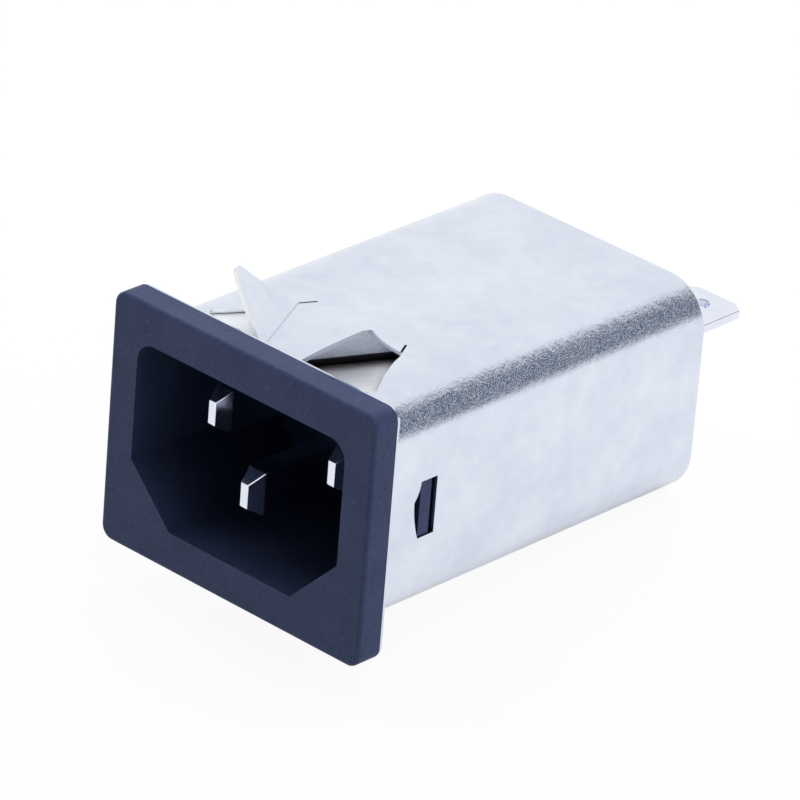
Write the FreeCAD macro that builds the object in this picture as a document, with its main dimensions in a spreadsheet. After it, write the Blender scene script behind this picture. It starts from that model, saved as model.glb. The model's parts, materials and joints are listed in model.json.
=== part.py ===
import FreeCAD, Part
import math
import os
import Sketcher

# Snap-in power line filter with a three-pin appliance inlet.
# Frame: origin at the centre of the flange's rear face, +Y rearward into the
# equipment, +X to the right seen from the front, +Z up. All sizes in millimetres.

doc = FreeCAD.newDocument("power_line_filter")
sheet = doc.addObject("Spreadsheet::Sheet", "sizes")

DRIVING_SIZES = {
    "moulded_flange": {
        "flange_side": 1.35,
        "flange_top": 1.6,
        "flange_thick": 2.65,
        "flange_corner": 1.25,
        "flange_edge": 0.38,
    },
    "inlet_cavity": {
        "cavity_width": 24.2,
        "cavity_height": 16.2,
        "cavity_depth": 17.0,
        "cavity_bevel": 5.0,
        "cavity_corner": 1.8,
        "floor_thick": 2.6,
        "shroud_side": 0.94,
        "shroud_top": 1.19,
    },
    "sheet_metal_can": {
        "can_corner": 4.3,
        "can_sheet": 0.35,
        "can_end_round": 0.25,
        "rim_inset": 0.1,
    },
    "latch_and_window": {
        "window_front": 5.05,
        "window_length": 1.92,
        "window_height": 5.3,
        "window_rise": 0.26,
        "window_bow": 0.7,
        "bow_high": 1.15,
        "bow_upper_radius": 3.2,
        "bow_lower_radius": 10.5,
        "latch_gap": 0.1,
        "latch_sink": 0.12,
        "latch_ramp": 0.45,
    },
    "snap_claws": {
        "claw_across": 1.85,
        "claw_back": 1.6,
        "claw_splay": 25.9,
        "claw_hinge": 9.5,
        "claw_reach": 6.2,
        "claw_tip_back": 4.0,
        "claw_tip_width": 1.1,
        "claw_tip_round": 0.8,
        "claw_front_radius": 26.0,
        "claw_rear_radius": 30.0,
        "claw_lift": 48.5,
        "claw_slit": 1.6,
        "claw_slit_width": 0.2,
    },
    "liner": {
        "liner_thick": 0.3,
        "liner_front": 0.9,
        "slip_gap": 0.08,
        "notch_gap": 0.6,
    },
    "contact_blades": {
        "blade_tall": 4.0,
        "blade_thick": 2.0,
        "blade_pitch": 14.0,
        "blade_rise": 2.0,
        "earth_drop": 4.0,
        "blade_recess": 4.05,
        "earth_recess": 1.2,
        "tip_tall": 2.2,
        "tip_thick": 0.8,
        "tip_taper": 1.5,
        "tail_length": 1.6,
        "leg_width": 1.6,
        "leg_thick": 0.8,
        "leg_poke": 0.8,
    },
    "board": {
        "leg_clear": 0.97,
        "board_thick": 1.2,
        "board_gap": 1.6,
        "hole_gap": 0.1,
    },
    "choke": {
        "core_outer": 12.2,
        "core_inner": 7.4,
        "core_height": 5.4,
        "wire_diameter": 0.8,
        "wire_gap": 0.05,
        "coil_span": 116.0,
        "choke_gap": 1.35,
        "choke_setback": 6.6,
        "divider_thick": 1.0,
    },
    "capacitors_and_resistor": {
        "film_width": 13.0,
        "film_depth": 5.0,
        "film_tall": 11.0,
        "film_pitch": 10.0,
        "film_gap": 0.3,
        "film_edge": 0.4,
        "lead_diameter": 0.7,
        "disc_diameter": 7.5,
        "disc_thick": 3.2,
        "disc_edge": 0.9,
        "disc_across": 9.6,
        "disc_lift": 1.0,
        "disc_pitch": 5.0,
        "disc_setback": 7.0,
        "resistor_diameter": 2.0,
        "resistor_length": 6.0,
        "resistor_pitch": 9.0,
        "resistor_gap": 0.3,
    },
    "rear_plate": {
        "plate_thick": 2.0,
        "boss_width": 8.4,
        "boss_tall": 3.2,
        "boss_proud": 0.1,
    },
    "tabs_lug_and_rivet": {
        "tab_width": 6.3,
        "tab_thick": 0.8,
        "tab_length": 9.2,
        "tab_pitch": 15.0,
        "tab_rise": 3.8,
        "tab_hole": 1.8,
        "tab_hole_back": 2.5,
        "tab_clip_across": 1.05,
        "tab_clip_back": 0.75,
        "earth_tab_drop": 4.6,
        "foot_tall": 5.4,
        "rivet_drop": 1.9,
        "rivet_shank": 2.2,
        "rivet_head": 3.8,
        "rivet_head_thick": 0.8,
        "lug_width": 3.0,
        "lug_thick": 0.5,
        "lug_foot": 1.6,
    },
}

COIL_TURNS = 7
WIRE_SIDES = 6

# Places that several pieces share, each worked out from the driving sizes
FLOOR_REAR = "(cavity_depth - flange_thick + floor_thick)"
BLADE_LEG_REAR = f"({FLOOR_REAR} + tail_length)"
WALL_FRONT = "(can_length - can_sheet)"
PLATE_FRONT = "(can_length - can_sheet - plate_thick)"
BOARD_TOP = "(-board_drop)"
BOARD_UNDER = "(-board_drop - board_thick)"
LEG_END = "(-board_drop - board_thick - leg_poke)"
RIM_WIDTH = "(flange_width - 2 * rim_inset)"
RIM_HEIGHT = "(flange_height - 2 * rim_inset)"
CAN_SIDE = "(can_width / 2)"
CAN_TOP = "(can_height / 2)"
INNER_WIDTH = "(can_width - 2 * can_sheet)"
INNER_HEIGHT = "(can_height - 2 * can_sheet)"
LINER_WIDTH = "(can_width - 2 * can_sheet - 2 * slip_gap)"
LINER_HEIGHT = "(can_height - 2 * can_sheet - 2 * slip_gap)"
LINER_CORNER = "(can_corner - can_sheet - slip_gap)"
BORE_WIDTH = f"({LINER_WIDTH} - 2 * liner_thick)"
BORE_HEIGHT = f"({LINER_HEIGHT} - 2 * liner_thick)"
BORE_CORNER = f"({LINER_CORNER} - liner_thick)"
SHROUD_WIDTH = f"({BORE_WIDTH} - 2 * slip_gap)"
SHROUD_HEIGHT = f"({BORE_HEIGHT} - 2 * slip_gap)"
SHROUD_CORNER = f"({BORE_CORNER} - slip_gap)"
WINDOW_REAR = "(window_front + window_length)"
WINDOW_TOP = "(window_rise + window_height / 2)"
WINDOW_LOW = "(window_rise - window_height / 2)"
TAB_LEG_FRONT = f"({PLATE_FRONT} - leg_thick - tab_thick)"
COIL_RADIUS = "(core_outer / 2 + wire_gap + wire_diameter)"
CHOKE_UP = f"({BOARD_TOP} + {COIL_RADIUS})"
CHOKE_BACK = f"({PLATE_FRONT} - choke_setback)"
COIL_OUT = "(core_outer / 2 + wire_gap + wire_diameter / 2)"
COIL_IN = "(core_inner / 2 - wire_gap - wire_diameter / 2)"
COIL_HALF = "(core_height / 2 + wire_gap + wire_diameter / 2)"
COIL_FRONT = f"({COIL_HALF} + wire_diameter / 2)"
START_BACK = f"({CHOKE_BACK} - {COIL_HALF})"
RETURN_BACK = f"({CHOKE_BACK} + {COIL_HALF} + wire_diameter + 2 * wire_gap)"
RESISTOR_BACK = f"({BLADE_LEG_REAR} + resistor_gap + resistor_diameter / 2)"
FILM_FRONT = f"({RESISTOR_BACK} + resistor_diameter / 2 + film_gap)"
FILM_BACK = f"({FILM_FRONT} + film_depth / 2)"
FILM_REAR = f"({FILM_FRONT} + film_depth)"
DISC_BACK = f"({FLOOR_REAR} + disc_setback)"

# The can, flange and board, sized by the connector's cavity and what lies round it and behind it
SIDE_STACK = "(shroud_side + 2 * slip_gap + liner_thick + can_sheet)"
TOP_STACK = "(shroud_top + 2 * slip_gap + liner_thick + can_sheet)"
WORKED_OUT = {
    "can_width": f"cavity_width + 2 * {SIDE_STACK}",
    "can_height": f"cavity_height + 2 * {TOP_STACK}",
    "can_length": f"{FILM_REAR} + choke_gap + {COIL_FRONT} + choke_setback + plate_thick + can_sheet",
    "flange_width": "can_width + 2 * flange_side",
    "flange_height": "can_height + 2 * flange_top",
    "board_width": f"{BORE_WIDTH} - 2 * board_gap",
    "board_drop": f"{BORE_HEIGHT} / 2 - leg_clear - leg_poke - board_thick",
}
SIZE_NAMES = {name for entries in DRIVING_SIZES.values() for name in entries} | set(WORKED_OUT)


def fill_sheet():
    """Writes every size into the sheet, with its name as the alias: plain numbers for the
    driving sizes, then formulas for those worked out from them."""
    row = 0
    for group, entries in DRIVING_SIZES.items():
        row += 1
        sheet.set(f"A{row}", group.replace("_", " "))
        for name, number in entries.items():
            row += 1
            write_size(row, name, str(number))
    for name, formula in WORKED_OUT.items():
        row += 1
        write_size(row, name, "=" + formula)
    doc.recompute()


def write_size(row, name, content):
    sheet.set(f"A{row}", name.replace("_", " "))
    sheet.set(f"B{row}", content)
    sheet.setAlias(f"B{row}", name)


fill_sheet()


def named(text):
    """Turns plain size names in an expression into references to the sheet."""
    words = []
    word = ""
    for mark in text + " ":
        if mark.isalnum() or mark == "_" or (mark == "." and word[:1].isdigit()):
            word += mark
            continue
        words.append("sizes." + word if word in SIZE_NAMES else word)
        words.append(mark)
        word = ""
    return "".join(words).strip()


def value(text):
    """The present number behind an expression of size names."""
    return float(sheet.evalExpression(named(text).replace("sizes.", "")))


def bind(thing, **properties):
    """Binds properties to expressions; a double underscore stands for a dot."""
    for name, text in properties.items():
        thing.setExpression(name.replace("__", "."), named(text))


# Sketch and body helpers


def new_body(name):
    body = doc.addObject("PartDesign::Body", name)
    body.Label = name
    return body


def origin_plane(body, role):
    return next(item for item in body.Origin.OriginFeatures if item.Role == role)


def body_sketch(body, role, name, offset="0"):
    """A sketch on one of the body's origin planes, moved along that plane's normal."""
    sketch = body.newObject("Sketcher::SketchObject", name)
    sketch.AttachmentSupport = [(origin_plane(body, role), "")]
    sketch.MapMode = "FlatFace"
    bind(sketch, AttachmentOffset__Base__z=offset)
    return sketch


def outline(sketch, points):
    """Draws a closed outline. Each point is (across, up) or (across, up, radius), where
    radius makes the stretch to the next point an arc that bulges to the right of its
    path, or to the left where the radius starts with a minus sign."""
    first = sketch.GeometryCount
    count = len(points)
    places = [FreeCAD.Vector(value(point[0]), value(point[1]), 0) for point in points]
    for index, point in enumerate(points):
        start = places[index]
        end = places[(index + 1) % count]
        if len(point) == 2:
            sketch.addGeometry(Part.LineSegment(start, end), False)
            continue
        radius = value(point[2].lstrip("-"))
        chord = end - start
        side = FreeCAD.Vector(chord.y, -chord.x, 0).normalize()
        if point[2].startswith("-"):
            side = side * -1
        sagitta = radius - math.sqrt(max(radius ** 2 - chord.Length ** 2 / 4, 0))
        middle = (start + end) * 0.5 + side * sagitta
        sketch.addGeometry(Part.Arc(start, middle, end), False)
    ends = []
    for index in range(count):
        ends.append(stretch_ends(sketch, first + index, places[index]))
    for index in range(count):
        after = (index + 1) % count
        sketch.addConstraint(Sketcher.Constraint("Coincident", first + index, ends[index][1],
                                                 first + after, ends[after][0]))
    for index, point in enumerate(points):
        fix_number(sketch, "DistanceX", (-1, 1, first + index, ends[index][0]), point[0])
        fix_number(sketch, "DistanceY", (-1, 1, first + index, ends[index][0]), point[1])
        if len(point) == 3:
            fix_number(sketch, "Radius", (first + index,), point[2].lstrip("-"))


def stretch_ends(sketch, index, start):
    """Which end of a stretch is its start and which its end: arcs may run backwards."""
    if sketch.getPoint(index, 1).isEqual(start, 1e-6):
        return 1, 2
    return 2, 1


def fix_number(sketch, kind, where, text):
    number = sketch.addConstraint(Sketcher.Constraint(kind, *where, value(text)))
    sketch.setExpression(f"Constraints[{number}]", named(text))


def circle(sketch, across, up, diameter):
    """A full circle, placed and sized by expressions."""
    place = FreeCAD.Vector(value(across), value(up), 0)
    index = sketch.addGeometry(Part.Circle(place, FreeCAD.Vector(0, 0, 1), value(diameter) / 2), False)
    fix_number(sketch, "DistanceX", (-1, 1, index, 3), across)
    fix_number(sketch, "DistanceY", (-1, 1, index, 3), up)
    fix_number(sketch, "Diameter", (index,), diameter)


def round_rectangle(sketch, width, height, corner, up="0"):
    """A rectangle with round corners, centred across and at a given height."""
    half_w = f"{width} / 2"
    half_h = f"{height} / 2"
    flat_w = f"({half_w} - {corner})"
    flat_h = f"({half_h} - {corner})"
    outline(sketch, [
        (f"-{flat_w}", f"{up} - {half_h}"),
        (f"{flat_w}", f"{up} - {half_h}", corner),
        (f"{half_w}", f"{up} - {flat_h}"),
        (f"{half_w}", f"{up} + {flat_h}", corner),
        (f"{flat_w}", f"{up} + {half_h}"),
        (f"-{flat_w}", f"{up} + {half_h}", corner),
        (f"-{half_w}", f"{up} + {flat_h}"),
        (f"-{half_w}", f"{up} - {flat_h}", corner),
    ])


def rectangle(sketch, across, up, width, height):
    """A rectangle with sharp corners, centred on a given point."""
    left = f"{across} - {width} / 2"
    right = f"{across} + {width} / 2"
    low = f"{up} - {height} / 2"
    high = f"{up} + {height} / 2"
    outline(sketch, [(left, low), (right, low), (right, high), (left, high)])


def pad(body, sketch, length, rearward=False, midplane=False):
    """Adds a sketch's solid. A sketch across Y faces -Y, so a rearward pad is reversed."""
    feature = body.newObject("PartDesign::Pad", sketch.Name + "_pad")
    feature.Profile = sketch
    bind(feature, Length=length)
    feature.Reversed = rearward
    feature.Midplane = midplane
    doc.recompute()
    return feature


def pocket(body, sketch, length, reverse=False, midplane=False):
    """Cuts a sketch's solid away, and makes sure that something was cut."""
    before = body.Shape.Volume
    feature = body.newObject("PartDesign::Pocket", sketch.Name + "_pocket")
    feature.Profile = sketch
    bind(feature, Length=length)
    feature.Reversed = reverse
    feature.Midplane = midplane
    doc.recompute()
    if body.Shape.Volume >= before:
        raise RuntimeError(sketch.Name + " cuts nothing")
    return feature


def edges_at(shape, place, tolerance=1e-4):
    """Names of the edges that lie in the plane Y = place."""
    found = []
    for number, edge in enumerate(shape.Edges, 1):
        box = edge.BoundBox
        if abs(box.YMin - place) < tolerance and abs(box.YMax - place) < tolerance:
            found.append(f"Edge{number}")
    return found


def round_edges(body, feature, names, radius):
    fillet = body.newObject("PartDesign::Fillet", feature.Name + "_round")
    fillet.Base = (feature, names)
    bind(fillet, Radius=radius)
    doc.recompute()
    return fillet


def bevel_edges(body, feature, names, size):
    bevel = body.newObject("PartDesign::Chamfer", feature.Name + "_bevel")
    bevel.Base = (feature, names)
    bind(bevel, Size=size)
    doc.recompute()
    return bevel


# Part helpers


def box(name, low, size):
    """A block from its lowest corner and its sizes along X, Y and Z."""
    block = doc.addObject("Part::Box", name)
    bind(block, Length=size[0], Width=size[1], Height=size[2])
    place(block, low)
    return block


def place(thing, corner):
    bind(thing, Placement__Base__x=corner[0], Placement__Base__y=corner[1], Placement__Base__z=corner[2])


def stand(bar, base, turn):
    """Puts a bar's base at a point, upright unless it is turned."""
    if turn is not None:
        bar.Placement = FreeCAD.Placement(FreeCAD.Vector(), turn)
    place(bar, base)
    return bar


def cylinder(name, radius, height, base, turn=None):
    bar = doc.addObject("Part::Cylinder", name)
    bind(bar, Radius=radius, Height=height)
    return stand(bar, base, turn)


def wire_bar(name, diameter, height, base, turn=None):
    """A straight stretch of wire, or the hole for one, drawn with flat sides as the windings are."""
    bar = doc.addObject("Part::Prism", name)
    bar.Polygon = WIRE_SIDES
    bind(bar, Circumradius=f"({diameter}) / 2", Height=height)
    return stand(bar, base, turn)


def fuse(name, pieces):
    joined = doc.addObject("Part::MultiFuse", name)
    joined.Shapes = pieces
    joined.Refine = True
    joined.Label = name
    return joined


def cut(name, base, tool):
    result = doc.addObject("Part::Cut", name)
    result.Base = base
    result.Tool = tool
    result.Label = name
    return result


ALONG_X = FreeCAD.Rotation(FreeCAD.Vector(0, 0, 1), FreeCAD.Vector(1, 0, 0))
ALONG_Y = FreeCAD.Rotation(FreeCAD.Vector(0, 0, 1), FreeCAD.Vector(0, 1, 0))
FACING_FRONT = FreeCAD.Rotation(FreeCAD.Vector(0, 0, 1), 180)


# Moulded inlet: flange, cavity, floor with blade slots, and a latch on each side


def make_inlet_housing():
    body = new_body("inlet_housing")
    face = body_sketch(body, "XZ_Plane", "flange_outline", "flange_thick")
    round_rectangle(face, "flange_width", "flange_height", "flange_corner")
    flange = pad(body, face, "flange_thick", rearward=True)
    round_edges(body, flange, edges_at(flange.Shape, -value("flange_thick")), "flange_edge")
    shroud = body_sketch(body, "XZ_Plane", "shroud_outline")
    round_rectangle(shroud, SHROUD_WIDTH, SHROUD_HEIGHT, SHROUD_CORNER)
    pad(body, shroud, FLOOR_REAR, rearward=True)
    mouth = body_sketch(body, "XZ_Plane", "cavity_outline", "flange_thick")
    side = "cavity_width / 2"
    top = "cavity_height / 2"
    outline(mouth, [
        (f"-({side} - cavity_bevel)", f"-{top}"),
        (f"{side} - cavity_bevel", f"-{top}"),
        (side, f"-({top} - cavity_bevel)"),
        (side, f"{top} - cavity_corner", "cavity_corner"),
        (f"{side} - cavity_corner", top),
        (f"-({side} - cavity_corner)", top, "cavity_corner"),
        (f"-{side}", f"{top} - cavity_corner"),
        (f"-{side}", f"-({top} - cavity_bevel)"),
    ])
    pocket(body, mouth, "cavity_depth")
    slots = body_sketch(body, "XZ_Plane", "blade_slots", "flange_thick - cavity_depth")
    for across, up in blade_places():
        rectangle(slots, across, up, "blade_thick", "blade_tall")
    pocket(body, slots, "floor_thick")
    latch = body_sketch(body, "XY_Plane", "latch_profile", "window_rise")
    inside = f"({SHROUD_WIDTH} / 2 - slip_gap)"
    outside = f"({CAN_SIDE} - latch_sink)"
    front = "window_front + latch_gap"
    rear = f"{WINDOW_REAR} - latch_gap"
    ramp = f"{rear} - latch_ramp"
    corners = [(inside, front), (outside, front), (outside, ramp), (inside, rear)]
    outline(latch, corners)
    outline(latch, [(f"-{across}", up) for across, up in reversed(corners)])
    pad(body, latch, "window_height - 2 * latch_gap", midplane=True)
    return body


def blade_places():
    """Middle of each blade across the inlet: line, neutral, earth."""
    return [
        ("-blade_pitch / 2", "blade_rise"),
        ("blade_pitch / 2", "blade_rise"),
        ("0", "blade_rise - earth_drop"),
    ]


def make_blade(name, across, up, recess):
    """A contact blade: tapered tip, flat shank through the floor, and a leg into the board."""
    shank_front = f"({recess} - flange_thick + tip_taper)"
    tip = doc.addObject("Part::Wedge", name + "_tip")
    bind(tip, Xmin="-blade_thick / 2", Xmax="blade_thick / 2", X2min="-tip_thick / 2", X2max="tip_thick / 2")
    bind(tip, Zmin="-blade_tall / 2", Zmax="blade_tall / 2", Z2min="-tip_tall / 2", Z2max="tip_tall / 2")
    bind(tip, Ymin="0", Ymax="tip_taper")
    stand(tip, (across, shank_front, up), FACING_FRONT)
    shank = box(name + "_shank", (f"{across} - blade_thick / 2", shank_front, f"{up} - blade_tall / 2"),
                ("blade_thick", f"{BLADE_LEG_REAR} - {shank_front}", "blade_tall"))
    leg = box(name + "_leg", (f"{across} - leg_width / 2", f"{BLADE_LEG_REAR} - leg_thick", LEG_END),
              ("leg_width", "leg_thick", f"{up} - {LEG_END}"))
    return fuse(name, [tip, shank, leg])


# Sheet-metal can: drawn shell with a rim, latch windows, rear openings and lanced claws


def make_can_shell():
    body = new_body("can_shell")
    tube = body_sketch(body, "XZ_Plane", "can_outline")
    round_rectangle(tube, "can_width", "can_height", "can_corner")
    shell = pad(body, tube, "can_length", rearward=True)
    round_edges(body, shell, edges_at(shell.Shape, value("can_length")), "can_end_round")
    rim = body_sketch(body, "XZ_Plane", "rim_outline")
    round_rectangle(rim, RIM_WIDTH, RIM_HEIGHT, "(flange_corner - rim_inset)")
    pad(body, rim, "can_sheet", rearward=True)
    inside = body_sketch(body, "XZ_Plane", "can_inside")
    round_rectangle(inside, INNER_WIDTH, INNER_HEIGHT, "(can_corner - can_sheet)")
    pocket(body, inside, WALL_FRONT)
    window = body_sketch(body, "YZ_Plane", "window_outline")
    outline(window, [
        (WINDOW_REAR, WINDOW_LOW),
        (WINDOW_REAR, WINDOW_TOP),
        ("window_front", WINDOW_TOP, "-bow_upper_radius"),
        ("window_front - window_bow", "bow_high", "bow_lower_radius"),
        ("window_front", WINDOW_LOW),
    ])
    pocket(body, window, "2 * can_width", midplane=True)
    openings = body_sketch(body, "XZ_Plane", "rear_openings", "-can_length")
    for across in ("-tab_pitch / 2", "tab_pitch / 2"):
        rectangle(openings, across, "tab_rise", "(boss_width + 2 * slip_gap)", "(boss_tall + 2 * slip_gap)")
    circle(openings, "0", "-rivet_drop", "rivet_shank")
    pocket(body, openings, "can_sheet", reverse=True)
    return body


# The claw in its own plane: across is away from the hinge, up is rearward along it.
# The front and rear edges are shallow arcs that meet in a round tip.
CLAW_TIP_START = "(claw_reach - claw_tip_round + sqrt(claw_tip_round ^ 2 - claw_tip_width ^ 2 / 4))"
CLAW_TIP_REAR = "(claw_tip_back + claw_tip_width)"
CLAW_EDGE = [
    ("0", "0", "claw_front_radius"),
    (CLAW_TIP_START, "claw_tip_back", "claw_tip_round"),
    (CLAW_TIP_START, CLAW_TIP_REAR, "-claw_rear_radius"),
    ("0", "claw_hinge"),
]


def claw_sketch(name, lift):
    """A sketch in the claw's plane, hinged on the can's top and turned up by lift degrees."""
    sketch = doc.addObject("Sketcher::SketchObject", name)
    spot = f"vector(claw_across; claw_back; {CAN_TOP})"
    turn = f"rotation(vector(0; 0; 1); -claw_splay) * rotation(vector(0; 1; 0); -{lift})"
    bind(sketch, Placement=f"placement({spot}; {turn})")
    return sketch


def extrude(name, sketch, forward, backward="0"):
    solid = doc.addObject("Part::Extrusion", name)
    solid.Base = sketch
    solid.DirMode = "Normal"
    solid.Solid = True
    bind(solid, LengthFwd=forward, LengthRev=backward)
    return solid


def mirror(name, source, normal):
    copy = doc.addObject("Part::Mirroring", name)
    copy.Source = source
    copy.Base = FreeCAD.Vector()
    copy.Normal = normal
    return copy


def four_times(name, piece):
    """A piece with its mirror images: left and right, top and bottom."""
    other = mirror(name + "_left", piece, FreeCAD.Vector(1, 0, 0))
    low = mirror(name + "_low_right", piece, FreeCAD.Vector(0, 0, 1))
    low_other = mirror(name + "_low_left", other, FreeCAD.Vector(0, 0, 1))
    return [piece, other, low, low_other]


def make_can():
    shell = make_can_shell()
    hole = claw_sketch("claw_window_outline", "0")
    outline(hole, CLAW_EDGE)
    slit = claw_sketch("claw_slit_outline", "0")
    run = f"sqrt({CLAW_TIP_START} ^ 2 + (claw_hinge - {CLAW_TIP_REAR}) ^ 2)"
    ahead = f"({CLAW_TIP_START} / {run})"
    behind = f"((claw_hinge - {CLAW_TIP_REAR}) / {run})"
    hinge_end = f"claw_hinge - claw_slit_width / {ahead}"
    outline(slit, [
        ("0", "claw_hinge"),
        (f"-claw_slit * {ahead}", f"claw_hinge + claw_slit * {behind}"),
        (f"-claw_slit * {ahead} - claw_slit_width * {behind}",
         f"claw_hinge + claw_slit * {behind} - claw_slit_width * {ahead}"),
        ("0", hinge_end),
    ])
    window = extrude("claw_window", hole, "can_sheet", "2 * can_sheet")
    relief = extrude("claw_relief", slit, "can_sheet", "2 * can_sheet")
    cutters = fuse("claw_cutters", four_times("claw_window", window) + four_times("claw_relief", relief))
    fin = claw_sketch("claw_fin_outline", "claw_lift")
    root = "-can_sheet * tan(claw_lift / 2)"
    outline(fin, CLAW_EDGE + [(root, hinge_end), (root, "0")])
    plate = extrude("claw_fin", fin, "0", "can_sheet")
    cleared = cut("can_cleared", shell, cutters)
    return fuse("can", [cleared] + four_times("claw_fin", plate))


# Insulating liner: a folded sleeve between the can and everything inside it


def make_insulating_liner():
    body = new_body("insulating_liner")
    outer = body_sketch(body, "XZ_Plane", "liner_outline", "-liner_front")
    round_rectangle(outer, LINER_WIDTH, LINER_HEIGHT, LINER_CORNER)
    pad(body, outer, f"{PLATE_FRONT} - liner_front", rearward=True)
    inner = body_sketch(body, "XZ_Plane", "liner_inside", "-liner_front")
    round_rectangle(inner, BORE_WIDTH, BORE_HEIGHT, BORE_CORNER)
    pocket(body, inner, f"{PLATE_FRONT} - liner_front")
    notch = body_sketch(body, "YZ_Plane", "latch_notch")
    low = f"{WINDOW_LOW} - notch_gap"
    top = f"{WINDOW_TOP} + notch_gap"
    rear = f"{WINDOW_REAR} + notch_gap"
    outline(notch, [("0", low), (rear, low), (rear, top), ("0", top)])
    pocket(body, notch, "2 * can_width", midplane=True)
    return body


# Circuit board, with a hole for each leg and lead


def lead_places():
    """Where round leads go through the board: (across, rearward, diameter)."""
    found = []
    for hand in ("-", ""):
        found.append((f"{hand}film_pitch / 2", FILM_BACK, "lead_diameter"))
        found.append((f"{hand}resistor_pitch / 2", RESISTOR_BACK, "lead_diameter"))
        found.append((f"{hand}disc_across", f"{DISC_BACK} - disc_pitch / 2", "lead_diameter"))
        found.append((f"{hand}disc_across", f"{DISC_BACK} + disc_pitch / 2", "lead_diameter"))
        coil_end = f"{hand}{COIL_OUT} * cos(coil_span / 2)"
        found.append((coil_end, START_BACK, "wire_diameter"))
        found.append((coil_end, RETURN_BACK, "wire_diameter"))
    return found


def leg_places():
    """Where flat legs go through the board: (across, rearward) of each leg's middle."""
    blade_back = f"({BLADE_LEG_REAR} - leg_thick / 2)"
    tab_back = f"({TAB_LEG_FRONT} + leg_thick / 2)"
    found = [(across, blade_back) for across, up in blade_places()]
    found += [(f"{hand}tab_pitch / 2", tab_back) for hand in ("-", "")]
    return found


def make_circuit_board():
    blank = box("board_blank", ("-board_width / 2", FLOOR_REAR, BOARD_UNDER),
                ("board_width", f"{PLATE_FRONT} - {FLOOR_REAR}", "board_thick"))
    holes = []
    for index, (across, back, diameter) in enumerate(lead_places()):
        holes.append(wire_bar(f"lead_hole_{index}", f"{diameter} + 2 * hole_gap", "board_thick",
                              (across, back, BOARD_UNDER)))
    for index, (across, back) in enumerate(leg_places()):
        corner = (f"{across} - leg_width / 2 - hole_gap", f"{back} - leg_thick / 2 - hole_gap", BOARD_UNDER)
        size = ("leg_width + 2 * hole_gap", "leg_thick + 2 * hole_gap", "board_thick")
        holes.append(box(f"leg_hole_{index}", corner, size))
    return cut("circuit_board", blank, fuse("board_holes", holes))


# Choke: ring core, a divider in its hole, and two windings of round wire


def make_choke_core():
    body = new_body("choke_core")
    ring = body_sketch(body, "XZ_Plane", "core_outline", f"-({CHOKE_BACK} - core_height / 2)")
    circle(ring, "0", CHOKE_UP, "core_outer")
    circle(ring, "0", CHOKE_UP, "core_inner")
    pad(body, ring, "core_height", rearward=True)
    return body


def make_choke_divider():
    half = "sqrt((core_inner / 2) ^ 2 - (divider_thick / 2) ^ 2)"
    corner = ("-divider_thick / 2", f"{CHOKE_BACK} - core_height / 2", f"{CHOKE_UP} - {half}")
    divider = box("choke_divider", corner, ("divider_thick", "core_height", f"2 * {half}"))
    divider.Label = "choke_divider"
    return divider


def winding_path(hand):
    """Corners of one winding: up through the board, around the core turn by turn, then
    over its rear and back down into the board."""
    span = value("coil_span")
    outer = value(COIL_OUT)
    inner = value(COIL_IN)
    middle_back = value(CHOKE_BACK)
    half = value(COIL_HALF)
    middle_up = value(CHOKE_UP)
    under = value(LEG_END)
    step = span / COIL_TURNS

    def spot(radius, degrees, back):
        angle = math.radians(degrees)
        across = hand * radius * math.cos(angle)
        up = middle_up + radius * math.sin(angle)
        return FreeCAD.Vector(across, middle_back + back, up)

    corners = []
    for turn in range(COIL_TURNS):
        angle = turn * step - span / 2
        corners.append(spot(outer, angle, -half))
        corners.append(spot(inner, angle, -half))
        corners.append(spot(inner, angle, half))
        corners.append(spot(outer, angle + step, half))
    first = corners[0]
    last = corners[-1]
    returning = value(RETURN_BACK)
    start = FreeCAD.Vector(first.x, first.y, under)
    over = FreeCAD.Vector(last.x, returning, last.z)
    end = FreeCAD.Vector(last.x, returning, under)
    return [start] + corners + [over, end]


def make_winding(name, hand):
    corners = winding_path(hand)
    path = doc.addObject("Part::Feature", name + "_path")
    path.Shape = Part.makePolygon(corners)
    section = doc.addObject("Part::RegularPolygon", name + "_section")
    section.Polygon = WIRE_SIDES
    bind(section, Circumradius="wire_diameter / 2")
    section.Placement = FreeCAD.Placement(corners[0], FreeCAD.Rotation())
    wire = doc.addObject("Part::Sweep", name)
    wire.Sections = [section]
    wire.Spine = (path, [])
    wire.Solid = True
    wire.Transition = "Right corner"
    wire.Label = name
    return wire


# Capacitors and resistor, each with its leads


def lead(name, across, back, top):
    """An upright lead from below the board to a given height."""
    return wire_bar(name, "lead_diameter", f"{top} - {LEG_END}", (across, back, LEG_END))


def make_x_capacitor():
    """A boxed film capacitor that stands on the board."""
    body = new_body("film_case")
    case = body_sketch(body, "XY_Plane", "film_case_outline", BOARD_TOP)
    round_rectangle(case, "film_width", "film_depth", "film_edge", FILM_BACK)
    pad(body, case, "film_tall")
    leads = []
    for index, hand in enumerate(("-", "")):
        leads.append(lead(f"film_lead_{index}", f"{hand}film_pitch / 2", FILM_BACK, BOARD_TOP))
    return fuse("x_capacitor", [body] + leads)


def make_y_capacitor(name, hand):
    """A ceramic disc on edge, with bevelled rims and two straight leads."""
    body = new_body(name + "_disc")
    across = f"{hand}disc_across"
    middle = f"({BOARD_TOP} + disc_lift + disc_diameter / 2)"
    face = body_sketch(body, "YZ_Plane", name + "_outline", across)
    circle(face, DISC_BACK, middle, "disc_diameter")
    disc = pad(body, face, "disc_thick", midplane=True)
    bevel_edges(body, disc, ["Edge1", "Edge3"], "disc_edge")
    leads = []
    for index, step in enumerate(("-", "+")):
        leads.append(lead(f"{name}_lead_{index}", across, f"{DISC_BACK} {step} disc_pitch / 2", middle))
    return fuse(name, [body] + leads)


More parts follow.
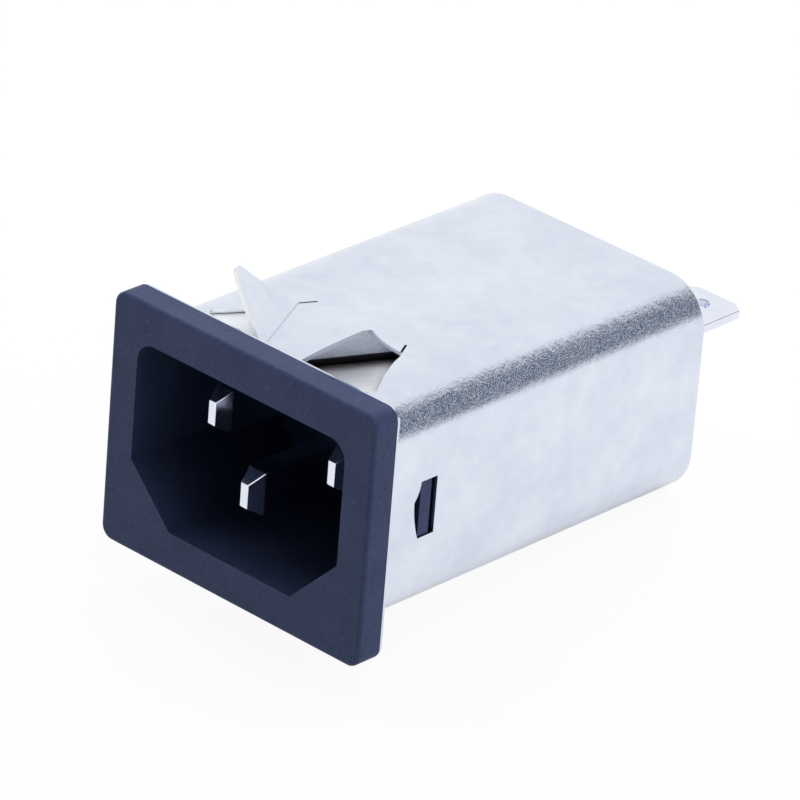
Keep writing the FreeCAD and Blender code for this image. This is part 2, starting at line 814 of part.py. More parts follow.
def make_bleed_resistor():
    """A barrel that lies on the board, with its lead bent down at both ends."""
    up = f"({BOARD_TOP} + resistor_diameter / 2)"
    barrel = cylinder("resistor_barrel", "resistor_diameter / 2", "resistor_length",
                      ("-resistor_length / 2", RESISTOR_BACK, up), ALONG_X)
    axle = wire_bar("resistor_lead", "lead_diameter", "resistor_pitch",
                    ("-resistor_pitch / 2", RESISTOR_BACK, up), ALONG_X)
    legs = []
    for index, hand in enumerate(("-", "")):
        legs.append(lead(f"resistor_leg_{index}", f"{hand}resistor_pitch / 2", RESISTOR_BACK, up))
    return fuse("bleed_resistor", [barrel, axle] + legs)


# Rear end: terminal plate, tabs, and the riveted earth connection


def make_terminal_plate():
    body = new_body("terminal_plate")
    face = body_sketch(body, "XZ_Plane", "plate_outline", f"-{PLATE_FRONT}")
    round_rectangle(face, LINER_WIDTH, LINER_HEIGHT, LINER_CORNER)
    pad(body, face, "plate_thick", rearward=True)
    boss = body_sketch(body, "XZ_Plane", "boss_outline", f"-{WALL_FRONT}")
    slots = body_sketch(body, "XZ_Plane", "tab_slots", f"-{PLATE_FRONT}")
    for across in ("-tab_pitch / 2", "tab_pitch / 2"):
        rectangle(boss, across, "tab_rise", "boss_width", "boss_tall")
        rectangle(slots, across, "tab_rise", "tab_width", "tab_thick")
    pad(body, boss, "can_sheet + boss_proud", rearward=True)
    pocket(body, slots, "plate_thick + can_sheet + boss_proud")
    gate = body_sketch(body, "XZ_Plane", "earth_gate", f"-{PLATE_FRONT}")
    half = "rivet_head / 2 + latch_gap"
    low = "-can_height / 2"
    top = f"{half} - rivet_drop"
    outline(gate, [(f"-({half})", low), (half, low), (half, top), (f"-({half})", top)])
    pocket(body, gate, "plate_thick")
    return body


def tab_end(sketch, across, front):
    """Outline of a push-on tab seen from above, with its end corners clipped."""
    half = "tab_width / 2"
    tip = "(can_length + tab_length)"
    outline(sketch, [
        (f"{across} - {half}", front),
        (f"{across} + {half}", front),
        (f"{across} + {half}", f"{tip} - tab_clip_back"),
        (f"{across} + {half} - tab_clip_across", tip),
        (f"{across} - {half} + tab_clip_across", tip),
        (f"{across} - {half}", f"{tip} - tab_clip_back"),
    ])


def make_tab(name, across):
    """A live tab: flat blade through the terminal plate, hole near its end, leg into the board."""
    body = new_body(name)
    low = "tab_rise - tab_thick / 2"
    flat = body_sketch(body, "XY_Plane", name + "_outline", low)
    tab_end(flat, across, TAB_LEG_FRONT)
    circle(flat, across, "can_length + tab_length - tab_hole_back", "tab_hole")
    pad(body, flat, "tab_thick")
    leg = body_sketch(body, "XY_Plane", name + "_leg", LEG_END)
    rectangle(leg, across, f"({TAB_LEG_FRONT} + leg_thick / 2)", "leg_width", "leg_thick")
    pad(body, leg, f"{low} - {LEG_END}")
    return body


def make_earth_tab():
    """The earth tab: its foot lies flat on the can's rear wall and is riveted to it."""
    body = new_body("earth_tab")
    low = "-earth_tab_drop - tab_thick / 2"
    flat = body_sketch(body, "XY_Plane", "earth_tab_outline", low)
    tab_end(flat, "0", "can_length")
    circle(flat, "0", "can_length + tab_length - tab_hole_back", "tab_hole")
    pad(body, flat, "tab_thick")
    foot = body_sketch(body, "XZ_Plane", "earth_foot", "-can_length")
    half = "tab_width / 2"
    high = f"{low} + foot_tall"
    outline(foot, [(f"-{half}", low), (half, low), (half, high), (f"-{half}", high)])
    pad(body, foot, "tab_thick", rearward=True)
    hole = body_sketch(body, "XZ_Plane", "earth_foot_hole", "-can_length")
    circle(hole, "0", "-rivet_drop", "rivet_shank")
    pocket(body, hole, "tab_thick")
    return body


def make_earth_lug():
    """A bent strip inside the can: one leg under the rivet, the other soldered to the board."""
    body = new_body("earth_lug")
    bend = body_sketch(body, "YZ_Plane", "lug_profile")
    top = "rivet_head / 2 - rivet_drop"
    outline(bend, [
        (f"{PLATE_FRONT} - lug_foot", BOARD_TOP),
        (WALL_FRONT, BOARD_TOP),
        (WALL_FRONT, top),
        (f"{WALL_FRONT} - lug_thick", top),
        (f"{WALL_FRONT} - lug_thick", f"{BOARD_TOP} + lug_thick"),
        (f"{PLATE_FRONT} - lug_foot", f"{BOARD_TOP} + lug_thick"),
    ])
    pad(body, bend, "lug_width", midplane=True)
    hole = body_sketch(body, "XZ_Plane", "lug_hole", f"-({WALL_FRONT} - lug_thick)")
    circle(hole, "0", "-rivet_drop", "rivet_shank")
    pocket(body, hole, "lug_thick")
    return body


def make_earth_rivet():
    """A flat-headed rivet through the earth tab's foot, the can's wall and the lug."""
    start = f"({WALL_FRONT} - lug_thick)"
    end = "(can_length + tab_thick)"
    middle = "-rivet_drop"
    shank = cylinder("rivet_bar", "rivet_shank / 2", f"{end} - {start}", ("0", start, middle), ALONG_Y)
    inner = cylinder("rivet_inner_head", "rivet_head / 2", "rivet_head_thick",
                     ("0", f"{start} - rivet_head_thick", middle), ALONG_Y)
    outer = cylinder("rivet_outer_head", "rivet_head / 2", "rivet_head_thick", ("0", end, middle), ALONG_Y)
    return fuse("earth_rivet", [shank, inner, outer])


def build():
    places = blade_places()
    parts = [
        make_inlet_housing(),
        make_blade("line_blade", *places[0], "blade_recess"),
        make_blade("neutral_blade", *places[1], "blade_recess"),
        make_blade("earth_blade", *places[2], "earth_recess"),
        make_can(),
        make_insulating_liner(),
        make_circuit_board(),
        make_choke_core(),
        make_choke_divider(),
        make_winding("line_winding", -1),
        make_winding("neutral_winding", 1),
        make_x_capacitor(),
        make_y_capacitor("line_y_capacitor", "-"),
        make_y_capacitor("neutral_y_capacitor", ""),
        make_bleed_resistor(),
        make_terminal_plate(),
        make_tab("line_tab", "-tab_pitch / 2"),
        make_tab("neutral_tab", "tab_pitch / 2"),
        make_earth_tab(),
        make_earth_lug(),
        make_earth_rivet(),
    ]
    doc.recompute()
    return parts


def check(parts):
    """Stops before anything is written if an object failed or a sub-part isn't sound."""
    failed = [item.Name for item in doc.Objects if "Invalid" in item.State or "Error" in item.State]
    if failed:
        raise RuntimeError("failed objects: " + ", ".join(failed))
    for part in parts:
        if part.Shape.isNull() or not part.Shape.isValid():
            raise RuntimeError(part.Label + " has no sound shape")


def write(parts):
    os.makedirs("parts", exist_ok=True)
    for part in parts:
        part.Shape.exportStep(os.path.join("parts", part.Label + ".step"))
        print(part.Label, round(part.Shape.Volume, 2), "mm3,", len(part.Shape.Solids), "solids")


parts = build()
check(parts)
write(parts)
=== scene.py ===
import json
import math

import bmesh
import bpy
from mathutils import Matrix, Vector

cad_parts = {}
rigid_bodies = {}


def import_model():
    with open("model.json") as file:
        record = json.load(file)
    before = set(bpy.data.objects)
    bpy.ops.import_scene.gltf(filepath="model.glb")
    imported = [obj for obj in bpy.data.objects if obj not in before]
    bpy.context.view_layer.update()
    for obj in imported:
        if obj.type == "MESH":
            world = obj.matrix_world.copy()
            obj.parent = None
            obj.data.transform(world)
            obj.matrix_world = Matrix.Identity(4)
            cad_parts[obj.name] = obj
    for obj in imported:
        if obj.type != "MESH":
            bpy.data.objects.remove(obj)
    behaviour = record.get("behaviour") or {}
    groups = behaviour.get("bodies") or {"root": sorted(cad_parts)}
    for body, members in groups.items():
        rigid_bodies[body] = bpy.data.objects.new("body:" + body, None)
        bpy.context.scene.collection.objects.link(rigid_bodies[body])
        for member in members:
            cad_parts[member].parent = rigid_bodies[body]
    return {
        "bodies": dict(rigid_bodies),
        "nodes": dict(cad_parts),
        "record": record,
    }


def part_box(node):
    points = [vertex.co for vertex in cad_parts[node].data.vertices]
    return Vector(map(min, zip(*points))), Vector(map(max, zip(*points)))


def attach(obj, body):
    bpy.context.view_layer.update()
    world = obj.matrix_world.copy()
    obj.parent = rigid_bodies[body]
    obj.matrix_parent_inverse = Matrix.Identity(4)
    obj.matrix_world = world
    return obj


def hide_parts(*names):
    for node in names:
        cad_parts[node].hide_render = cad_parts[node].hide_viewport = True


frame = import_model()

# Looks of the snap-in power line filter: the finish of every piece, the camera, the floor and
# the light. Metres, in the frame of the solids: origin at the centre of the flange's rear face,
# +Y rearward, +X to the right seen from the front, +Z up.

MM = 0.001
BLACK = (0.0, 0.0, 0.0)
WHITE = (1.0, 1.0, 1.0)

# The photograph's viewpoint. The picture is square. The lens and the sensor are in millimetres.
CAMERA_AZIMUTH = math.radians(41.592)
CAMERA_ELEVATION = math.radians(26.738)
CAMERA_ROLL = math.radians(-4.672)
CAMERA_DISTANCE = 567.727 * MM
CAMERA_ASIDE = 11.879 * MM
CAMERA_RISE = 5.791 * MM
CAMERA_LENS = 306.954
SENSOR_WIDTH = 36.0

# The floor is a white sweep, as bright as paper where it is seen. What the part mirrors of it is
# a little dimmer, with painted shade close to the part. What lights matt pieces from it is greyer.
FLOOR_RADIUS = 1.5
FLOOR_SIDES = 64
FLOOR_WHITE = (0.8, 0.8, 0.8)
FLOOR_GREY = (0.65, 0.65, 0.65)
FLOOR_GLOW = 0.93
MIRRORED_GLOW = 0.84
FLOOR_SHADE_REACH = 7 * MM
FLOOR_SHADE_LEAST = 0.25
FLOOR_SHADE_SAMPLES = 4

# The part leans on its lower claws and on an edge that lies at least this far behind their tips.
REST_APART = 5 * MM

# Two soft lights, one overhead and one on the left: the direction and level of each, and the
# cosines of the angle from it where it starts and where it is full. The rest is in faint shade.
LIGHT_SIDE = Vector((0.55, 0.22, 0.8))
LIGHT_LEVEL = 2.5
LIGHT_START = 0.7
LIGHT_FULL = 0.97
LEFT_SIDE = Vector((-0.8, 0.3, 0.52))
LEFT_LEVEL = 2.4
LEFT_START = 0.4
LEFT_FULL = 0.9
SHADE_LEVEL = 0.05

# Bright metal mirrors white walls with two unlit patches, one behind to the right and one overhead:
# the direction and colour of each, how far it is whole, and where it has faded out.
UNLIT_SIDE = Vector((0.571, 0.62, 0.537))
UNLIT_COLOUR = (0.12, 0.145, 0.2)
UNLIT_CORE = math.radians(15)
UNLIT_EDGE = math.radians(33)
ABOVE_SIDE = Vector((-0.5, -0.15, 0.85))
ABOVE_COLOUR = (0.08, 0.095, 0.125)
ABOVE_CORE = math.radians(20)
ABOVE_EDGE = math.radians(40)

# A mix node's sockets by their places: its two inputs and its output, for numbers and for colours.
MIX_FACTOR = 0
MIXED_NUMBERS = (2, 3, 0)
MIXED_COLOURS = (6, 7, 2)

# Noise keeps to the middle of its range, so a finish stretches one of these spans to the whole.
NOISE_SPAN = (0.3, 0.7)
NARROW_SPAN = (0.35, 0.65)
EVEN = (1.0, 1.0, 1.0)

# Painted shade in folds, slits and hollows: how far across they are, how clear where the light is lost
# and where it is whole, and what is left of it. The moulding counts its own folds and no other piece.
CREASE_SAMPLES = 8
SHEET_CREASE_SHADE = {"reach": 1.7 * MM, "shut": 0.2, "clear": 0.35, "least": 0.0}
LINER_CREASE_SHADE = {"reach": 1.7 * MM, "shut": 0.2, "clear": 0.47, "least": 0.03}
MOULDED_CREASE_SHADE = {"reach": 20 * MM, "shut": 0.35, "clear": 0.95, "least": 0.5, "own": True}
CONTACT_CREASE_SHADE = {"reach": 1.5 * MM, "shut": 0.25, "clear": 0.5, "least": 0.3}

# Tinned sheet: its clouds, and the spangle, sparks and patches of its drawn bends. The heights of
# its relief are in millimetres.
TIN_DARK = (0.665, 0.715, 0.825)
TIN_LIGHT = (0.765, 0.815, 0.91)
TIN_ROUGHNESS = (0.12, 0.26)
CLOUD_SIZE = 7.0 * MM
CLOUD_SHARE = 0.7
MOTTLE_SIZE = 1.5 * MM
SPANGLE_SIZE = 0.16 * MM
FLAT_SPANGLE = 0.003
BENT_SPANGLE = 0.02
SPARK_SIZE = 0.09 * MM
SPARK_SPAN = (0.55, 0.75)
SPARK_TALL = 0.014
PATCH_SIZE = 0.7 * MM
PATCH_TALL = 0.03

# How squarely a surface faces an axis where it still counts as flat, and where as fully bent.
FLAT_SQUARE = 0.97
BENT_SQUARE = 0.8

# The can's sheet: the height of its outer face, its thickness, and a margin between its levels.
SHEET_TOP = 10.1 * MM
SHEET_THICK = 0.35 * MM
MARGIN = 0.1 * MM
OUTSIDE_LEVEL = SHEET_TOP - MARGIN
CLAW_LEVEL = SHEET_TOP + MARGIN
UNDER_LEVEL = SHEET_TOP - SHEET_THICK - MARGIN
CUT_LEVEL = SHEET_TOP - SHEET_THICK / 2
CUT_DEEP = (SHEET_THICK + MARGIN) / 2
RIM_BEHIND = 0.5 * MM

# The upper right claw; the others mirror it. Its hinge splays outwards, and it is lifted about it.
HINGE_POINT = (1.85 * MM, 1.6 * MM)
HINGE_LENGTH = 9.5 * MM
HINGE_SPLAY = math.radians(25.9)
CLAW_LIFT = math.radians(48.5)
HINGE_NORMAL = (math.cos(HINGE_SPLAY), -math.sin(HINGE_SPLAY))
HINGE_END = (HINGE_POINT[0] + HINGE_LENGTH * math.sin(HINGE_SPLAY),
             HINGE_POINT[1] + HINGE_LENGTH * math.cos(HINGE_SPLAY))
CLAW_NORMAL = (-math.sin(CLAW_LIFT) * math.cos(HINGE_SPLAY),
               math.sin(CLAW_LIFT) * math.sin(HINGE_SPLAY),
               math.cos(CLAW_LIFT))

# A surface is a claw's upper side or underside where it faces that way by more than the first
# cosine, and a cut face of a window where it faces up or down by less than the second.
FACE_ON = 0.7
STEEP = 0.3

# Where the claws are lanced: how far to either side, and the middle and half of the length.
ZONE_ASIDE = 11 * MM
ZONE_MIDDLE = 5.5 * MM
ZONE_REACH = 4.5 * MM

# The claws' finish: painted shade in a thin line along the fold, fresh-cut edges in painted light on
# the left claws and in painted shade on the right, cut faces round the windows in painted light, and a
# matt underside with painted shade down at its root. The painted crease shade of the left claws is
# fainter.
FOLD_WIDE = 0.11 * MM
FOLD_CORE = 0.2 * FOLD_WIDE
FOLD_SHADE_COLOUR = (0.55, 0.59, 0.67)
LEFT_CUT_PAINTED_LIGHT = WHITE
RIGHT_CUT_PAINTED_SHADE = (0.47, 0.50, 0.58)
WINDOW_CUT_PAINTED_LIGHT = (0.97, 0.98, 1.0)
CUT_ROUGHNESS = 0.5
MATT_SIZE = 0.22 * MM
MATT_DARK = (0.64, 0.67, 0.76)
MATT_LIGHT = (0.84, 0.87, 0.97)
ROOT_PAINTED_SHADE = (0.01, 0.012, 0.02)
ROOT_DARK = SHEET_TOP + 0.85 * MM
ROOT_LIGHT = SHEET_TOP + 1.0 * MM
LEFT_CREASE_SHADE_SHARE = 0.3

# The lancing leaves a low lip on the sheet along the rear flank of the right claws' windows, which
# starts at the hinge's rear end: its direction, its extent, and its height in millimetres.
LIP_NORMAL = (0.89, 0.456)
LIP_START = -0.5 * MM
LIP_END = 0.8 * MM
LIP_TALL = 0.32

# Moulded plastic: a fine grain, wear of two sizes, and a few pale specks.
PLASTIC_DARK = (0.026, 0.041, 0.104)
PLASTIC_LIGHT = (0.043, 0.061, 0.142)
PLASTIC_ROUGHNESS = (0.46, 0.6)
GRAIN_SIZE = 0.14 * MM
GRAIN_DEEP = 0.012 * MM
WEAR_SIZES = (4.0 * MM, 0.45 * MM)
WEAR_SHARE = 0.5
SPECK_SIZE = 0.28 * MM
SPECK_SPAN = (0.72, 0.80)
SPECK_COLOUR = (0.09, 0.11, 0.17)

# Nickel plating: faint clouds, and stamping streaks along the piece.
PLATING_DARK = (0.74, 0.77, 0.87)
PLATING_LIGHT = (0.80, 0.83, 0.92)
PLATING_ROUGHNESS = (0.08, 0.16)
PLATING_CLOUDS = 2.5 * MM
STREAK_SIZE = 0.12 * MM
STREAK_STRETCH = (1.0, 12.0, 1.0)
STREAK_DEEP = 0.002 * MM

# The liner on the left, where the photograph is overexposed.
# Painted light: the left liner is paler and has none of the painted crease shade.
LINER_LEFT_PAINTED_LIGHT = (0.93, 0.95, 0.985)

# The cases of the capacitors and the resistor, and the bare leads that show past them.
FILM_TALL = 11.0 * MM
DISC_DIAMETER = 7.5 * MM
RESISTOR_LENGTH = 6.0 * MM
CASE_MARGIN = 0.01 * MM
LEAD_COLOUR = (0.78, 0.78, 0.77)

# Stamped contacts have their sharp edges rounded over. Faces under the area given shade smoothly.
SOFT_NODES = ("line_blade", "neutral_blade", "earth_blade", "line_tab", "neutral_tab", "earth_tab")
SOFT_EDGE = 0.08 * MM
SOFT_STEPS = 3
ROUND_PROFILE = 0.5
WELD_APART = 0.0001 * MM
SHARP_TURN = math.radians(25)
FLAT_TURN = math.radians(1)
FLAT_AREA = 0.4 * MM ** 2


def clear_starter_objects():
    """Removes what a new Blender file holds, and keeps the frame."""
    kept = set(frame["nodes"].values()) | set(frame["bodies"].values())
    for thing in list(bpy.data.objects):
        if thing not in kept:
            bpy.data.objects.remove(thing)


clear_starter_objects()
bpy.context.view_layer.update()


# Node helpers

def feed(tree, socket, value):
    """Links a node's output to the socket, or sets the socket's own value. Colours are opaque."""
    if isinstance(value, bpy.types.NodeSocket):
        tree.links.new(value, socket)
    elif socket.type == "RGBA":
        socket.default_value = (*value, 1.0)
    else:
        socket.default_value = value


def add(tree, kind, inputs=None, **settings):
    """Adds a node, sets it up, and feeds its inputs, which go by name or by place."""
    made = tree.nodes.new(kind)
    for key, value in settings.items():
        setattr(made, key, value)
    for key, value in (inputs or {}).items():
        feed(tree, made.inputs[key], value)
    return made


def feed_shader(tree, shader, **values):
    """Feeds the shader's sockets of those names, with _ for each space."""
    for key, value in values.items():
        feed(tree, shader.inputs[key.replace("_", " ")], value)


def new_material(name, **values):
    """A node material whose shader has the given constant values on its own sockets."""
    material = bpy.data.materials.new(name)
    material.use_nodes = True
    shader = material.node_tree.nodes["Principled BSDF"]
    feed_shader(material.node_tree, shader, **values)
    return material, material.node_tree, shader


def place(tree):
    """The surface point in the part's own frame, in metres."""
    return add(tree, "ShaderNodeTexCoord").outputs["Object"]


def facing(tree):
    """The direction that the surface faces."""
    return add(tree, "ShaderNodeNewGeometry").outputs["Normal"]


def split(tree, vector):
    """The three numbers of a vector: across, along and up."""
    return add(tree, "ShaderNodeSeparateXYZ", {"Vector": vector}).outputs


def across(tree):
    """How far to the right of the part's middle the surface lies."""
    return split(tree, place(tree))["X"]


def along(tree):
    """How far behind the flange's rear face the surface lies."""
    return split(tree, place(tree))["Y"]


def height(tree):
    """How far above the part's middle the surface lies."""
    return split(tree, place(tree))["Z"]


def math_node(tree, operation, *values):
    """One sum, product or comparison of as many numbers as the operation takes."""
    return add(tree, "ShaderNodeMath", dict(enumerate(values)), operation=operation).outputs["Value"]


def combine(tree, operation, first, *others):
    """Adds, multiplies or compares any number of numbers, one after the other."""
    for other in others:
        first = math_node(tree, operation, first, other)
    return first


def unsigned(tree, value):
    """A number without its sign, so that mirrored places count alike."""
    return math_node(tree, "ABSOLUTE", value)


def noise(tree, size, detail=2.0, stretch=EVEN):
    """Cloudy noise with features of about that size, from 0 to 1."""
    inputs = {"Vector": place(tree), "Scale": [1 / length for length in stretch]}
    scaled = add(tree, "ShaderNodeMapping", inputs).outputs["Vector"]
    inputs = {"Vector": scaled, "Scale": 1 / size, "Detail": detail}
    return add(tree, "ShaderNodeTexNoise", inputs).outputs["Fac"]


def two_sizes(tree, coarse, fine, share):
    """A coarse noise that makes up that share of the whole, and a fine one that makes up the rest."""
    rest = math_node(tree, "MULTIPLY", fine, 1 - share)
    return math_node(tree, "MULTIPLY_ADD", coarse, share, rest)


def ramp(tree, fac, start, end, low=0.0, high=1.0, interpolation="LINEAR"):
    """Maps a number from start..end to low..high, and holds it there."""
    inputs = {"Value": fac, "From Min": start, "From Max": end, "To Min": low, "To Max": high}
    return add(tree, "ShaderNodeMapRange", inputs, interpolation_type=interpolation).outputs["Result"]


def mix(tree, kind, places, fac, first, second):
    """A mix of two values of one kind, whose sockets are at those places of the node."""
    first_place, second_place, result = places
    inputs = {MIX_FACTOR: fac, first_place: first, second_place: second}
    return add(tree, "ShaderNodeMix", inputs, data_type=kind).outputs[result]


def blend(tree, fac, first, second):
    """Mixes two colours."""
    return mix(tree, "RGBA", MIXED_COLOURS, fac, first, second)


def choose(tree, fac, first, second):
    """Mixes two numbers."""
    return mix(tree, "FLOAT", MIXED_NUMBERS, fac, first, second)


def bump(tree, relief, depth):
    """Bumps that are that tall where the relief is 1."""
    inputs = {"Height": relief, "Strength": 1.0, "Distance": depth}
    return add(tree, "ShaderNodeBump", inputs).outputs["Normal"]


def painted_crease_shade(tree, base, reach, shut, clear, least, own=False):
    """Paints shade into a colour deep in folds and slits, and leaves plain corners alone."""
    openness = add(tree, "ShaderNodeAmbientOcclusion", {"Distance": reach},
                   samples=CREASE_SAMPLES, only_local=own).outputs["AO"]
    return blend(tree, ramp(tree, openness, shut, clear, least), BLACK, base)


def grained(tree, shader, size, dark, light, rough, relief, detail=3.0, stretch=EVEN):
    """Colour, roughness and relief that all follow one grain of that size. Gives the colour back."""
    grain = noise(tree, size, detail, stretch)
    base = blend(tree, ramp(tree, grain, *NOISE_SPAN), dark, light)
    roughness = ramp(tree, grain, *NOISE_SPAN, *rough)
    feed_shader(tree, shader, Base_Color=base, Roughness=roughness, Normal=bump(tree, grain, relief))
    return base


# Masks that find the claws and their windows

def level(tree):
    """How far above or below the part's middle the surface lies."""
    return unsigned(tree, height(tree))


def on_right(tree):
    """1 on the right half of the part, seen from the front."""
    return math_node(tree, "GREATER_THAN", across(tree), 0.0)


def on_claw(tree):
    """1 on what stands above the sheet behind the rim, which is only the claws."""
    standing = math_node(tree, "GREATER_THAN", level(tree), CLAW_LEVEL)
    behind_rim = math_node(tree, "GREATER_THAN", along(tree), RIM_BEHIND)
    return math_node(tree, "MULTIPLY", standing, behind_rim)


def claw_zone(tree):
    """1 between the can's sides and just behind its rim, where the claws are lanced."""
    inner = math_node(tree, "LESS_THAN", unsigned(tree, across(tree)), ZONE_ASIDE)
    front = math_node(tree, "COMPARE", along(tree), ZONE_MIDDLE, ZONE_REACH)
    return math_node(tree, "MULTIPLY", inner, front)


def on_front_sheet(tree):
    """1 on the can's outer face and above it, as far back as the claws' hinges reach."""
    outside = math_node(tree, "GREATER_THAN", level(tree), OUTSIDE_LEVEL)
    in_front = math_node(tree, "LESS_THAN", along(tree), HINGE_END[1])
    return math_node(tree, "MULTIPLY", outside, in_front)


def claw_facing(tree):
    """1 where the surface faces as a raised claw's upper side, -1 as its underside, 0 as its edges."""
    aside, rearward, upward = split(tree, facing(tree))
    aside = math_node(tree, "MULTIPLY", math_node(tree, "SIGN", across(tree)), aside)
    upward = math_node(tree, "MULTIPLY", math_node(tree, "SIGN", height(tree)), upward)
    shares = [math_node(tree, "MULTIPLY", side, share)
              for side, share in zip((aside, rearward, upward), CLAW_NORMAL)]
    return combine(tree, "ADD", *shares)


def cut_edge(tree):
    """1 on the fresh-cut edges of the raised claws."""
    edgewise = math_node(tree, "LESS_THAN", unsigned(tree, claw_facing(tree)), FACE_ON)
    return math_node(tree, "MULTIPLY", edgewise, on_claw(tree))


def claw_underside(tree):
    """1 on the undersides of the raised claws."""
    averted = math_node(tree, "LESS_THAN", claw_facing(tree), -FACE_ON)
    raised = math_node(tree, "GREATER_THAN", level(tree), UNDER_LEVEL)
    return math_node(tree, "MULTIPLY", averted, raised)


def window_face(tree):
    """1 on the cut faces round the claws' windows."""
    upward = unsigned(tree, split(tree, facing(tree))["Z"])
    steep = math_node(tree, "LESS_THAN", upward, STEEP)
    in_sheet = math_node(tree, "COMPARE", level(tree), CUT_LEVEL, CUT_DEEP)
    return combine(tree, "MULTIPLY", steep, in_sheet, claw_zone(tree))


def squareness(tree):
    """1 where the surface faces along one of the axes, and less on bends and slopes."""
    sides = [unsigned(tree, socket) for socket in split(tree, facing(tree))]
    return combine(tree, "MAXIMUM", *sides)


def past_line(tree, sideways, point, normal):
    """How far a place on the sheet lies past a line, on the side that the line's normal points to."""
    aside = math_node(tree, "MULTIPLY", math_node(tree, "SUBTRACT", sideways, point[0]), normal[0])
    behind = math_node(tree, "MULTIPLY", math_node(tree, "SUBTRACT", along(tree), point[1]), normal[1])
    return math_node(tree, "ADD", aside, behind)


def fold_shade_line(tree):
    """Where the painted shade along each claw's fold line lies on the can's outside: 1 on the line,
    fading out beside it.
    """
    away = past_line(tree, unsigned(tree, across(tree)), HINGE_POINT, HINGE_NORMAL)
    line = ramp(tree, unsigned(tree, away), FOLD_CORE, FOLD_WIDE, 1.0, 0.0)
    return math_node(tree, "MULTIPLY", line, on_front_sheet(tree))


def lip(tree):
    """The height in millimetres of the lip along the rear flank of the right claws' windows."""
    away = past_line(tree, across(tree), HINGE_END, LIP_NORMAL)
    slope = ramp(tree, away, LIP_START, LIP_END, LIP_TALL, 0.0)
    beside = math_node(tree, "GREATER_THAN", away, LIP_START)
    return combine(tree, "MULTIPLY", slope, beside, on_front_sheet(tree))


# Finishes

def tinned_steel():
    """Bright tinned sheet with faint clouds, a spangle on its drawn bends, and fresh-cut claws.
    Painted shade darkens its creases, the claws' folds and roots and the right claws' cut edges;
    painted light brightens the left claws' cut edges and the windows' cut faces.
    """
    material, tree, shader = new_material("tinned_steel", Metallic=1.0)
    spangle = noise(tree, SPANGLE_SIZE)
    cut = cut_edge(tree)
    under = claw_underside(tree)
    window = window_face(tree)
    base = claw_colours(tree, cut, under)
    shaded = painted_crease_shade(tree, base, **SHEET_CREASE_SHADE)
    base = blend(tree, on_right(tree), blend(tree, LEFT_CREASE_SHADE_SHARE, base, shaded), shaded)
    base = blend(tree, window, base, WINDOW_CUT_PAINTED_LIGHT)
    metal = choose(tree, math_node(tree, "MULTIPLY", window, on_right(tree)), 1.0, 0.0)
    roughness = ramp(tree, spangle, *NARROW_SPAN, *TIN_ROUGHNESS)
    roughness = choose(tree, math_node(tree, "MAXIMUM", cut, under), roughness, CUT_ROUGHNESS)
    relief = bump(tree, tin_heights(tree, spangle), MM)
    feed_shader(tree, shader, Base_Color=base, Roughness=roughness, Metallic=metal, Normal=relief)
    return material


def claw_colours(tree, cut, under):
    """The sheet's clouds, with the claws' painted fold shade, cut edges in painted light and painted
    shade, and undersides with painted shade at the root over them.
    """
    clouds = noise(tree, CLOUD_SIZE, detail=4.0)
    mottle = two_sizes(tree, clouds, noise(tree, MOTTLE_SIZE), CLOUD_SHARE)
    sheet = blend(tree, ramp(tree, mottle, *NARROW_SPAN), TIN_DARK, TIN_LIGHT)
    sheet = blend(tree, fold_shade_line(tree), sheet, FOLD_SHADE_COLOUR)
    sheet = blend(tree, cut, sheet, blend(tree, on_right(tree), LEFT_CUT_PAINTED_LIGHT, RIGHT_CUT_PAINTED_SHADE))
    grain = ramp(tree, noise(tree, MATT_SIZE, detail=3.0), *NARROW_SPAN)
    matt = blend(tree, grain, MATT_DARK, MATT_LIGHT)
    root = blend(tree, ramp(tree, level(tree), ROOT_DARK, ROOT_LIGHT), ROOT_PAINTED_SHADE, matt)
    return blend(tree, under, sheet, root)


def tin_heights(tree, spangle):
    """Heights in millimetres: the spangle, which is deep and rugged on drawn bends, and the lip."""
    lanced = math_node(tree, "MAXIMUM", on_claw(tree), claw_zone(tree))
    bent = choose(tree, lanced, ramp(tree, squareness(tree), FLAT_SQUARE, BENT_SQUARE), 0.0)
    depth = math_node(tree, "MULTIPLY_ADD", bent, BENT_SPANGLE, FLAT_SPANGLE)
    sparks = ramp(tree, noise(tree, SPARK_SIZE), *SPARK_SPAN, 0.0, SPARK_TALL)
    patches = ramp(tree, noise(tree, PATCH_SIZE), *NOISE_SPAN, 0.0, PATCH_TALL)
    rugged = math_node(tree, "MULTIPLY", math_node(tree, "ADD", sparks, patches), bent)
    return combine(tree, "ADD", math_node(tree, "MULTIPLY", spangle, depth), lip(tree), rugged)


def black_plastic():
    """Moulded blue-black plastic with a fine matt grain, a few pale specks, and painted shade in its
    folds and hollows.
    """
    material, tree, shader = new_material("black_plastic", Specular_IOR_Level=0.2)
    grain = noise(tree, GRAIN_SIZE, detail=3.0)
    coarse, fine = [noise(tree, size, detail=3.0) for size in WEAR_SIZES]
    worn = two_sizes(tree, coarse, fine, WEAR_SHARE)
    base = blend(tree, ramp(tree, worn, *NARROW_SPAN), PLASTIC_DARK, PLASTIC_LIGHT)
    specks = ramp(tree, noise(tree, SPECK_SIZE, detail=1.0), *SPECK_SPAN)
    base = painted_crease_shade(tree, blend(tree, specks, base, SPECK_COLOUR), **MOULDED_CREASE_SHADE)
    roughness = ramp(tree, grain, *NOISE_SPAN, *PLASTIC_ROUGHNESS)
    relief = bump(tree, grain, GRAIN_DEEP)
    feed_shader(tree, shader, Base_Color=base, Roughness=roughness, Normal=relief)
    return material


